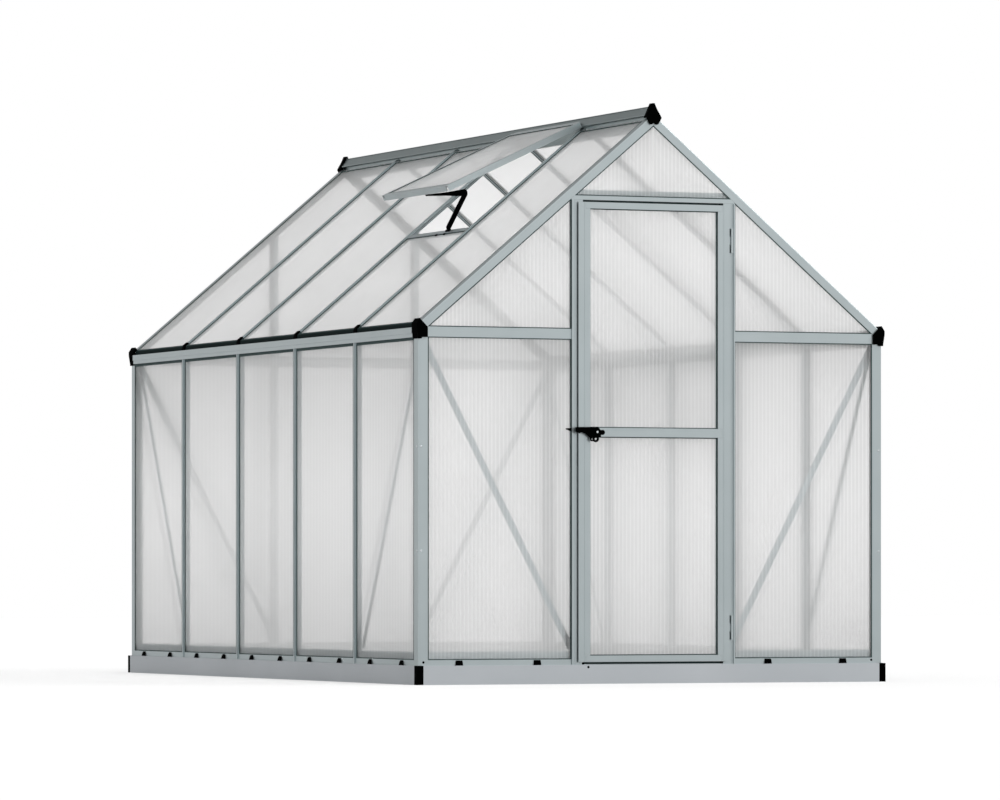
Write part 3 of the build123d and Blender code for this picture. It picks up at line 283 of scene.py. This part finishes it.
nylon = {"name": "mouldedBlackNylon", "colour": "#010101", "sheen": "#050606", "grainMm": 0.8, "rough": 0.5,
         "ior": 1.08, "shine": 0.04}
rubber = {"name": "extrudedRubberSeal", "colour": "#2f3d3d", "sheen": "#435353", "grainMm": 1.2, "rough": 0.6,
          "ior": 1.3, "shine": 0.2}
# eaves channel rubber: a rubber strip painted near black, so that it also stands for the shade in the channel under
# the roof sheets
eavesShadeRubber = {**rubber, "name": "eavesChannelRubberAndShade", "colour": "#101a1a", "sheen": "#1b2727", "ior": 1.1}


def polymer(s):
    # moulded nylon is near black with fine spark-eroded grain; the seals' rubber is a duller green black, and the
    # eaves channel's rubber is darker still as painted shade
    material, tree = surface(s["name"])
    coord = addNode(tree, "ShaderNodeTexCoord")
    grain = addNode(tree, "ShaderNodeTexNoise", {"Scale": 1000 / s["grainMm"], "Detail": 2.0},
                    {"Vector": (coord, "Object")})
    tone = addNode(tree, "ShaderNodeMix", {"data_type": "RGBA", 6: toLinear(s["colour"]), 7: toLinear(s["sheen"])},
                   {0: (grain, "Fac")})
    bump = addNode(tree, "ShaderNodeBump", {"Strength": grainDepth, "Distance": bumpDistance},
                   {"Height": (grain, "Fac")})
    plastic = addNode(tree, "ShaderNodeBsdfPrincipled",
                      {"Roughness": s["rough"], "IOR": s["ior"], "Specular IOR Level": s["shine"]},
                      {"Base Color": (tone, 2), "Normal": (bump, "Normal")})
    addNode(tree, "ShaderNodeOutputMaterial", links={"Surface": (plastic, "BSDF")})
    return material


steel = {"colour": "#d5dadc", "grainMm": 0.5, "roughLow": 0.18, "roughHigh": 0.32}


def brightSteel(s):
    # stainless screw heads: bright, finely turned
    material, tree = surface("stainlessScrewSteel")
    coord = addNode(tree, "ShaderNodeTexCoord")
    grain = addNode(tree, "ShaderNodeTexNoise", {"Scale": 1000 / s["grainMm"]}, {"Vector": (coord, "Object")})
    rough = addNode(tree, "ShaderNodeMapRange", {"To Min": s["roughLow"], "To Max": s["roughHigh"]},
                    {"Value": (grain, "Fac")})
    metal = addNode(tree, "ShaderNodeBsdfPrincipled", {"Metallic": 1.0, "Base Color": toLinear(s["colour"])},
                    {"Roughness": (rough, "Result")})
    addNode(tree, "ShaderNodeOutputMaterial", links={"Surface": (metal, "BSDF")})
    return material


zincMaterial = zincSteel(zinc)
nylonMaterial = polymer(nylon)
rubberMaterial = polymer(rubber)
eavesShadeMaterial = polymer(eavesShadeRubber)
screwMaterial = brightSteel(steel)

# Twin-wall sheet: two skins with ribs between, so it dims and combs what stands behind it
sheetLook = {
    "name": "twinWallPolycarbonate",
    "passTint": "#f6f6f6",    # what one skin lets through between ribs
    "ribTint": "#f9f9f9",     # and at a rib
    "haze": 0.15,             # share of milky scatter in a skin
    "ribHaze": 0.30,          # and at a rib
    "hazeColour": "#fafafa",
    "rough": 0.35,
    "blur": 0.55,             # share of the passed light that is spread, so far things soften
    "blurRough": 0.75,
    "blurIor": 1.04,
    "ior": 1.58,
    "backlit": 0.5,           # share of the scatter that carries light from behind
    "cloudScale": 1.6,
    "cloudSpan": (0.75, 1.25),   # unevenness of the scatter
}
roofLook = {**sheetLook, "name": "twinWallPolycarbonateRoof", "passTint": "#f7f7f7", "ribTint": "#f8f8f8",
            "haze": 0.3, "ribHaze": 0.36, "blur": 0.3, "blurIor": 1.012}


def twinWall(s):
    # twin-wall polycarbonate, extruded: pale grey over white, fine upright rib lines, milky over dark things
    material, tree = surface(s["name"])
    coord = addNode(tree, "ShaderNodeTexCoord")
    split = addNode(tree, "ShaderNodeSeparateXYZ", links={"Vector": (coord, "UV")})
    turn = addNode(tree, "ShaderNodeMath", {"operation": "MULTIPLY", 1: math.tau}, {0: (split, "X")})
    wave = addNode(tree, "ShaderNodeMath", {"operation": "COSINE"}, {0: (turn, 0)})
    rib = addNode(tree, "ShaderNodeMapRange", {"interpolation_type": "SMOOTHSTEP"}, {"Value": (wave, 0)})
    cloud = addNode(tree, "ShaderNodeTexNoise", {"Scale": s["cloudScale"]}, {"Vector": (coord, "Object")})
    uneven = addNode(tree, "ShaderNodeMapRange", {"To Min": s["cloudSpan"][0], "To Max": s["cloudSpan"][1]},
                     {"Value": (cloud, "Fac")})
    tint = addNode(tree, "ShaderNodeMix",
                   {"data_type": "RGBA", 6: toLinear(s["passTint"]), 7: toLinear(s["ribTint"])},
                   {0: (rib, "Result")})
    share = addNode(tree, "ShaderNodeMapRange", {"To Min": s["haze"], "To Max": s["ribHaze"]},
                    {"Value": (rib, "Result")})
    milky = addNode(tree, "ShaderNodeMath", {"operation": "MULTIPLY"},
                    {0: (share, "Result"), 1: (uneven, "Result")})
    skin = addNode(tree, "ShaderNodeBsdfPrincipled",
                   {"Base Color": toLinear(s["hazeColour"]), "Roughness": s["rough"], "IOR": s["ior"]})
    glow = addNode(tree, "ShaderNodeBsdfTranslucent", {"Color": toLinear(s["hazeColour"])})
    scatter = addNode(tree, "ShaderNodeMixShader", {0: s["backlit"]}, {1: (skin, "BSDF"), 2: (glow, 0)})
    sharp = addNode(tree, "ShaderNodeBsdfTransparent", links={"Color": (tint, 2)})
    soft = addNode(tree, "ShaderNodeBsdfRefraction", {"Roughness": s["blurRough"], "IOR": s["blurIor"]},
                   {"Color": (tint, 2)})
    through = addNode(tree, "ShaderNodeMixShader", {0: s["blur"]}, {1: (sharp, 0), 2: (soft, 0)})
    seen = addNode(tree, "ShaderNodeMixShader", links={0: (milky, 0), 1: (through, 0), 2: (scatter, 0)})
    path = addNode(tree, "ShaderNodeLightPath")
    shade = addNode(tree, "ShaderNodeBsdfTransparent", {"Color": toLinear(s["passTint"])})
    mix = addNode(tree, "ShaderNodeMixShader", links={0: (path, "Is Shadow Ray"), 1: (seen, 0), 2: (shade, 0)})
    addNode(tree, "ShaderNodeOutputMaterial", links={"Surface": (mix, 0)})
    return material


wallSheet = twinWall(sheetLook)
roofSheet = twinWall(roofLook)

sheetShape = {"ribPitch": 0.015, "pillow": 0.0002, "steps": 5, "edge": 0.0005}


def islands(source):
    # loose parts of a CAD node, each as a list of its corner places
    bm = bmesh.new()
    bm.from_mesh(source.data)
    bmesh.ops.remove_doubles(bm, verts=bm.verts, dist=1e-5)
    bm.verts.ensure_lookup_table()
    seen = set()
    groups = []
    for start in bm.verts:
        if start.index in seen:
            continue
        stack = [start]
        seen.add(start.index)
        group = []
        while stack:
            vert = stack.pop()
            group.append(vert.co.copy())
            for edge in vert.link_edges:
                other = edge.other_vert(vert)
                if other.index not in seen:
                    seen.add(other.index)
                    stack.append(other)
        groups.append(group)
    bm.free()
    return groups


def span(points, u):
    # lowest and highest v of a convex outline at u
    hits = []
    for (u0, v0), (u1, v1) in zip(points, points[1:] + points[:1]):
        if min(u0, u1) - 1e-9 <= u <= max(u0, u1) + 1e-9:
            if abs(u1 - u0) < 1e-9:
                hits += [v0, v1]
            else:
                hits.append(v0 + (v1 - v0) * (u - u0) / (u1 - u0))
    return min(hits), max(hits)


def hull(points):
    ordered = sorted(set((round(u, 6), round(v, 6)) for u, v in points))

    def half(run):
        out = []
        for p in run:
            while len(out) > 1 and ((out[-1][0] - out[-2][0]) * (p[1] - out[-2][1])
                                    - (out[-1][1] - out[-2][1]) * (p[0] - out[-2][0])) <= 0:
                out.pop()
            out.append(p)
        return out

    lower = half(ordered)
    upper = half(ordered[::-1])
    return lower[:-1] + upper[:-1]


def flutedSheet(bm, uvLayer, corners, along, outward, s):
    # rebuilds one flat CAD sheet with a shallow pillow between ribs; along = rib direction
    along = Vector(along).normalized()
    outward = Vector(outward).normalized()
    across = along.cross(outward)
    depths = [c.dot(outward) for c in corners]
    inner, outer = min(depths), max(depths)
    outline = hull([(c.dot(across), c.dot(along)) for c in corners])
    us = [p[0] for p in outline]
    pitch = s["ribPitch"]
    steps = s["steps"]
    first = math.floor(min(us) / pitch)
    last = math.ceil(max(us) / pitch)
    stations = {round(u, 6) for u in us}
    for k in range(first * steps, last * steps + 1):
        u = k * pitch / steps
        if min(us) + s["edge"] < u < max(us) - s["edge"]:
            stations.add(round(u, 6))
    rows = []
    for u in sorted(stations):
        low, high = span(outline, u)
        rise = s["pillow"] * math.sin(math.pi * (u / pitch % 1))
        ring = []
        for depth, v in ((outer - s["pillow"] + rise, low), (outer - s["pillow"] + rise, high),
                         (inner + s["pillow"] - rise, high), (inner + s["pillow"] - rise, low)):
            ring.append(bm.verts.new(across * u + along * v + outward * depth))
        rows.append((u, ring))
    faces = []
    for (u0, a), (u1, b) in zip(rows, rows[1:]):
        for i in range(4):
            j = (i + 1) % 4
            face = bm.faces.new((a[i], b[i], b[j], a[j]))
            face.smooth = i in (0, 2)   # the two skins, not the cut edges
            faces.append((face, (u0, u1, u1, u0)))
    faces.append((bm.faces.new(rows[0][1][::-1]), [rows[0][0]] * 4))
    faces.append((bm.faces.new(rows[-1][1]), [rows[-1][0]] * 4))
    for face, places in faces:
        for loop, u in zip(face.loops, places):
            loop[uvLayer].uv = (u / pitch, loop.vert.co.dot(along))


def fluteNode(name, body, along, outward):
    bm = bmesh.new()
    uvLayer = bm.loops.layers.uv.new("ribs")
    for corners in islands(nodes[name]):
        flutedSheet(bm, uvLayer, corners, along, outward, sheetShape)
    bmesh.ops.recalc_face_normals(bm, faces=bm.faces)
    mesh = bpy.data.meshes.new(name + "Fluted")
    bm.to_mesh(mesh)
    bm.free()
    mesh.materials.append(roofSheet if name in roofNodes else wallSheet)
    piece = bpy.data.objects.new(name + "Fluted", mesh)
    bpy.context.scene.collection.objects.link(piece)
    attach(piece, body)
    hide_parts(name)


slope = math.radians(roofPitch)
ventDrop = math.radians(25)
downLeft = (-math.cos(slope), 0, -math.sin(slope))
downRight = (math.cos(slope), 0, -math.sin(slope))
downVent = (-math.cos(ventDrop), 0, -math.sin(ventDrop))
sheets = [
    ("wall_panels_left", "frame", (0, 0, 1), (-1, 0, 0)),
    ("wall_panels_right", "frame", (0, 0, 1), (1, 0, 0)),
    ("wall_panels_front", "frame", (0, 0, 1), (0, -1, 0)),
    ("wall_panels_back", "frame", (0, 0, 1), (0, 1, 0)),
    ("gable_panels_front", "frame", (0, 0, 1), (0, -1, 0)),
    ("gable_panels_back", "frame", (0, 0, 1), (0, 1, 0)),
    ("roof_panels_left", "frame", downLeft, (-math.sin(slope), 0, math.cos(slope))),
    ("roof_panels_right", "frame", downRight, (math.sin(slope), 0, math.cos(slope))),
    ("vent_panel", "frame", downVent, (-math.sin(ventDrop), 0, math.cos(ventDrop))),
    ("door_panels", "door", (0, 0, 1), (0, -1, 0)),
]
roofNodes = ("roof_panels_left", "roof_panels_right", "vent_panel")
for entry in sheets:
    fluteNode(*entry)
print("sheets made")

# Glazing seals: a dark rubber edge all round each sheet, between the sheet and the lips of the profiles; their dark
# also paints the shade along the profile edges beside the sheets
openings = {
    "faceX": 0.915, "faceY": 1.515, "sheetDepth": 0.0023,
    "postX": 0.877, "postY": 1.477, "barHalf": 0.015,
    "bars": (-0.909, -0.303, 0.303, 0.909),
    "sillTop": 0.088, "eaves": 1.232, "shadeStripFar": 0.0104, "shadeStripNear": 0.0036, "railLow": 1.234, "railHigh": 1.270,
    "jamb": 0.322, "backBar": 0.292, "headerTop": 1.748,
    "rafterEdge": 0.030, "apex": 2.04604, "eavesEdge": 0.909,
    "ridgeEdge": 0.034, "ventSillEdge": 0.614, "ventBay": 1, "footGap": 0.002,
    "stile": 0.252, "doorLow": 0.101, "doorMid": (0.885, 0.917), "doorHigh": 1.702, "doorSheet": -1.514,
    "ventHalf": 0.301, "ventHead": 0.0228, "ventFoot": 0.570, "ventSheet": 0.0147, "ventMiddle": -0.606,
    "ventHinge": (-0.01875, 2.04504),
}
sealSize = {"width": 0.0034, "proud": 0.0004, "doorHeight": 0.003}


def inset(points, width):
    # moves each side of a counter-clockwise outline inwards
    out = []
    count = len(points)
    for k in range(count):
        (ax, ay), (bx, by), (cx, cy) = points[k - 1], points[k], points[(k + 1) % count]
        first = Vector((bx - ax, by - ay)).normalized()
        second = Vector((cx - bx, cy - by)).normalized()
        n1 = Vector((-first.y, first.x))
        n2 = Vector((-second.y, second.x))
        lean = (n1 + n2) / (1 + n1.dot(n2))
        out.append((bx + lean.x * width, by + lean.y * width))
    return out


def sealRing(bm, points, place, low, high, width):
    # a ring of rubber along an outline given in the plane of place, from height low to high
    area = sum(a[0] * b[1] - b[0] * a[1] for a, b in zip(points, points[1:] + points[:1]))
    if area < 0:
        points = points[::-1]
    inner = inset(points, width)
    rings = [[bm.verts.new(place @ Vector((u, v, h))) for u, v in line]
             for line, h in ((points, low), (points, high), (inner, high), (inner, low))]
    count = len(points)
    for k in range(count):
        n = (k + 1) % count
        for a, b in zip(rings, rings[1:] + rings[:1]):
            bm.faces.new((a[k], a[n], b[n], b[k]))


def planeAt(origin, uAxis, vAxis, outward):
    columns = Matrix((uAxis, vAxis, outward)).transposed()
    return Matrix.Translation(origin) @ columns.to_4x4()


def roofHeight(o, x):
    # lower edge of the gable rafters at x
    return o["apex"] - abs(x) * math.tan(slope) - o["rafterEdge"] / math.cos(slope)


def rect(u0, u1, v0, v1):
    return [(u0, v0), (u1, v0), (u1, v1), (u0, v1)]


def frameOpenings(o):
    lines = [-o["postY"] - o["barHalf"], *o["bars"], o["postY"] + o["barHalf"]]
    bays = [(a + o["barHalf"], b - o["barHalf"]) for a, b in zip(lines, lines[1:])]
    found = []
    for side in (-1, 1):
        wall = planeAt((side * o["faceX"], 0, 0), (0, 1, 0), (0, 0, 1), (side, 0, 0))
        for a, b in bays:
            found.append((wall, rect(a, b, o["sillTop"], o["eaves"])))
            # a second dark strip just below the eaves beam: it stands for the seal and for the painted shade under
            # the beam together
            found.append((wall, rect(a, b, o["eaves"] - o["shadeStripFar"], o["eaves"] - o["shadeStripNear"])))
        roof = planeAt((0, 0, o["apex"]), (0, 1, 0), (side * math.cos(slope), 0, -math.sin(slope)),
                       (side * math.sin(slope), 0, math.cos(slope)))
        for k, (a, b) in enumerate(bays):
            top = o["ventSillEdge"] if side < 0 and k == o["ventBay"] else o["ridgeEdge"]
            found.append((roof, rect(a, b, top, o["eavesEdge"] / math.cos(slope) - o["footGap"])))
    for end in (-1, 1):
        gable = planeAt((0, end * o["faceY"], 0), (1, 0, 0), (0, 0, 1), (0, end, 0))
        rim = (roofHeight(o, 0) - o["railHigh"]) / math.tan(slope)
        for side in (-1, 1):
            low = [(side * u, v) for u, v in rect(o["jamb"], o["postX"], o["sillTop"], o["railLow"])]
            high = [(o["jamb"], o["railHigh"]), (min(rim, o["postX"]), o["railHigh"]),
                    (o["jamb"], roofHeight(o, o["jamb"]))]
            found += [(gable, low), (gable, [(side * u, v) for u, v in high])]
        if end < 0:
            half = (roofHeight(o, 0) - o["headerTop"]) / math.tan(slope)
            found.append((gable, [(-half, o["headerTop"]), (half, o["headerTop"]), (0, roofHeight(o, 0))]))
        else:
            b = o["backBar"]
            found.append((gable, rect(-b, b, o["sillTop"], o["railLow"])))
            found.append((gable, [(-b, o["railHigh"]), (b, o["railHigh"]), (b, roofHeight(o, b)),
                                  (0, roofHeight(o, 0)), (-b, roofHeight(o, b))]))
    return found


def makeSeals(o, s):
    frameSeal = bmesh.new()
    for place, points in frameOpenings(o):
        sealRing(frameSeal, points, place, -o["sheetDepth"], s["proud"], s["width"])
    hinge = o["ventHinge"]
    vent = planeAt((hinge[0], o["ventMiddle"], hinge[1]), (0, 1, 0), downVent,
                   (-math.sin(ventDrop), 0, math.cos(ventDrop)))
    sealRing(frameSeal, rect(-o["ventHalf"], o["ventHalf"], o["ventHead"], o["ventFoot"]), vent,
             o["ventSheet"], o["ventSheet"] + o["sheetDepth"], s["width"])
    doorSeal = bmesh.new()
    leaf = planeAt((0, o["doorSheet"], 0), (1, 0, 0), (0, 0, 1), (0, -1, 0))
    for low, high in ((o["doorLow"], o["doorMid"][0]), (o["doorMid"][1], o["doorHigh"])):
        sealRing(doorSeal, rect(-o["stile"], o["stile"], low, high), leaf, 0, s["doorHeight"], s["width"])
    for name, bm, body in (("frameGlazingSeals", frameSeal, "frame"), ("doorGlazingSeals", doorSeal, "door")):
        bmesh.ops.recalc_face_normals(bm, faces=bm.faces)
        mesh = bpy.data.meshes.new(name)
        bm.to_mesh(mesh)
        bm.free()
        mesh.materials.append(rubberMaterial)
        piece = bpy.data.objects.new(name, mesh)
        bpy.context.scene.collection.objects.link(piece)
        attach(piece, body)


makeSeals(openings, sealSize)
print("glazing seals made")

# Screw and rivet heads: one nodes tree puts a head on each point, facing the way the point says
heads = {
    "sides": 14,
    "topShare": 0.7,          # radius of a head's top over that of its foot
    "screw": (0.004, 0.0016),     # radius and height
    "plug": (0.0045, 0.002),
    "rivet": (0.0042, 0.001),
    "postScrewHeights": (0.475, 0.845),
    "postScrewInset": 0.0115,
    "plugPlaces": ((-0.894, -1.515, 0.080), (0.874, -1.515, 0.080),
                   (-0.277, -1.515, 0.073), (-0.262, -1.530, 0.060)),
    "rivetPlace": (-0.231, -1.5408, 0.901),
}


def headTree(s):
    tree = bpy.data.node_groups.new("screwHeads", "GeometryNodeTree")
    face = tree.interface
    face.new_socket("Geometry", in_out="INPUT", socket_type="NodeSocketGeometry")
    face.new_socket("Radius", in_out="INPUT", socket_type="NodeSocketFloat")
    face.new_socket("Height", in_out="INPUT", socket_type="NodeSocketFloat")
    face.new_socket("Material", in_out="INPUT", socket_type="NodeSocketMaterial")
    face.new_socket("Geometry", in_out="OUTPUT", socket_type="NodeSocketGeometry")
    source = addNode(tree, "NodeGroupInput")
    top = addNode(tree, "ShaderNodeMath", {"operation": "MULTIPLY", 1: s["topShare"]},
                  {0: (source, "Radius")})
    cone = addNode(tree, "GeometryNodeMeshCone", {"Vertices": s["sides"]},
                   {"Radius Top": (top, 0), "Radius Bottom": (source, "Radius"), "Depth": (source, "Height")})
    facing = addNode(tree, "GeometryNodeInputNamedAttribute", {"data_type": "FLOAT_VECTOR", "Name": "facing"})
    turn = addNode(tree, "FunctionNodeAlignRotationToVector", {"axis": "Z"}, {"Vector": (facing, "Attribute")})
    put = addNode(tree, "GeometryNodeInstanceOnPoints",
                  links={"Points": (source, "Geometry"), "Instance": (cone, "Mesh"),
                         "Rotation": (turn, "Rotation")})
    real = addNode(tree, "GeometryNodeRealizeInstances", links={"Geometry": (put, "Instances")})
    finish = addNode(tree, "GeometryNodeSetMaterial", links={"Geometry": (real, "Geometry"),
                                                            "Material": (source, "Material")})
    addNode(tree, "NodeGroupOutput", links={"Geometry": (finish, "Geometry")})
    return tree


headNodes = headTree(heads)


def makeHeads(name, body, spots, size, material):
    points = bpy.data.meshes.new(name + "Points")
    points.from_pydata([place for place, facing in spots], [], [])
    facingData = points.attributes.new("facing", "FLOAT_VECTOR", "POINT")
    for k, (place, facing) in enumerate(spots):
        facingData.data[k].vector = facing
    piece = bpy.data.objects.new(name, points)
    bpy.context.scene.collection.objects.link(piece)
    modifier = piece.modifiers.new("heads", "NODES")
    modifier.node_group = headNodes
    sockets = {item.name: item.identifier for item in headNodes.interface.items_tree if item.in_out == "INPUT"}
    modifier[sockets["Radius"]] = size[0]
    modifier[sockets["Height"]] = size[1]
    modifier[sockets["Material"]] = material
    graph = bpy.context.evaluated_depsgraph_get()
    mesh = bpy.data.meshes.new_from_object(piece.evaluated_get(graph))
    piece.modifiers.remove(modifier)
    piece.data = mesh
    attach(piece, body)


def screwSpots(s, o):
    spots = []
    edge = o["faceX"] - s["postScrewInset"]
    for z in s["postScrewHeights"]:
        for side in (-1, 1):
            for end in (-1, 1):
                spots.append(((side * edge, end * o["faceY"], z), (0, end, 0)))
                spots.append(((side * o["faceX"], end * (o["faceY"] - s["postScrewInset"]), z), (side, 0, 0)))
    return spots


frontWay = (0, -1, 0)
plugSpots = [(place, frontWay) for place in heads["plugPlaces"]]
makeHeads("postScrews", "frame", screwSpots(heads, openings), heads["screw"], screwMaterial)
makeHeads("footPlugs", "frame", plugSpots, heads["plug"], nylonMaterial)
makeHeads("latchRivet", "door", [(heads["rivetPlace"], frontWay)], heads["rivet"], screwMaterial)
print("screws made")

finishes = {}
for name in ("plinth_front", "plinth_back", "plinth_left", "plinth_right"):
    finishes[name] = zincMaterial
for name in ("sill_front", "sill_back", "gable_rails_front", "gable_rails_back", "door_header", "door_rails"):
    finishes[name] = alongX
for name in ("sill_left", "sill_right", "eaves_beam_left", "eaves_beam_right", "vent_sill"):
    finishes[name] = alongY
finishes["ridge_beam"] = ridgeMaterial
for name in ("corner_posts", "wall_bars_left", "wall_bars_right", "door_jambs", "back_wall_posts",
             "door_stiles", "hinge_leaves_frame", "hinge_leaves_door", "side_braces", "gable_braces"):
    finishes[name] = upright
for name in ("gable_rafters_front", "gable_rafters_back", "roof_bars_left", "roof_bars_right", "vent_frame"):
    finishes[name] = leftSlope
for name in ("plinth_corner_caps", "eaves_corner_caps", "ridge_end_caps", "vent_stay", "roof_bar_clips",
             "sill_clips", "vent_sill_clips", "latch_keeper", "latch_plate", "latch_lever"):
    finishes[name] = nylonMaterial
finishes["eaves_seals"] = eavesShadeMaterial
finishes["door_stops"] = rubberMaterial
for name, material in finishes.items():
    mesh = nodes[name].data
    mesh.materials.clear()
    mesh.materials.append(material)
print("finishes on")
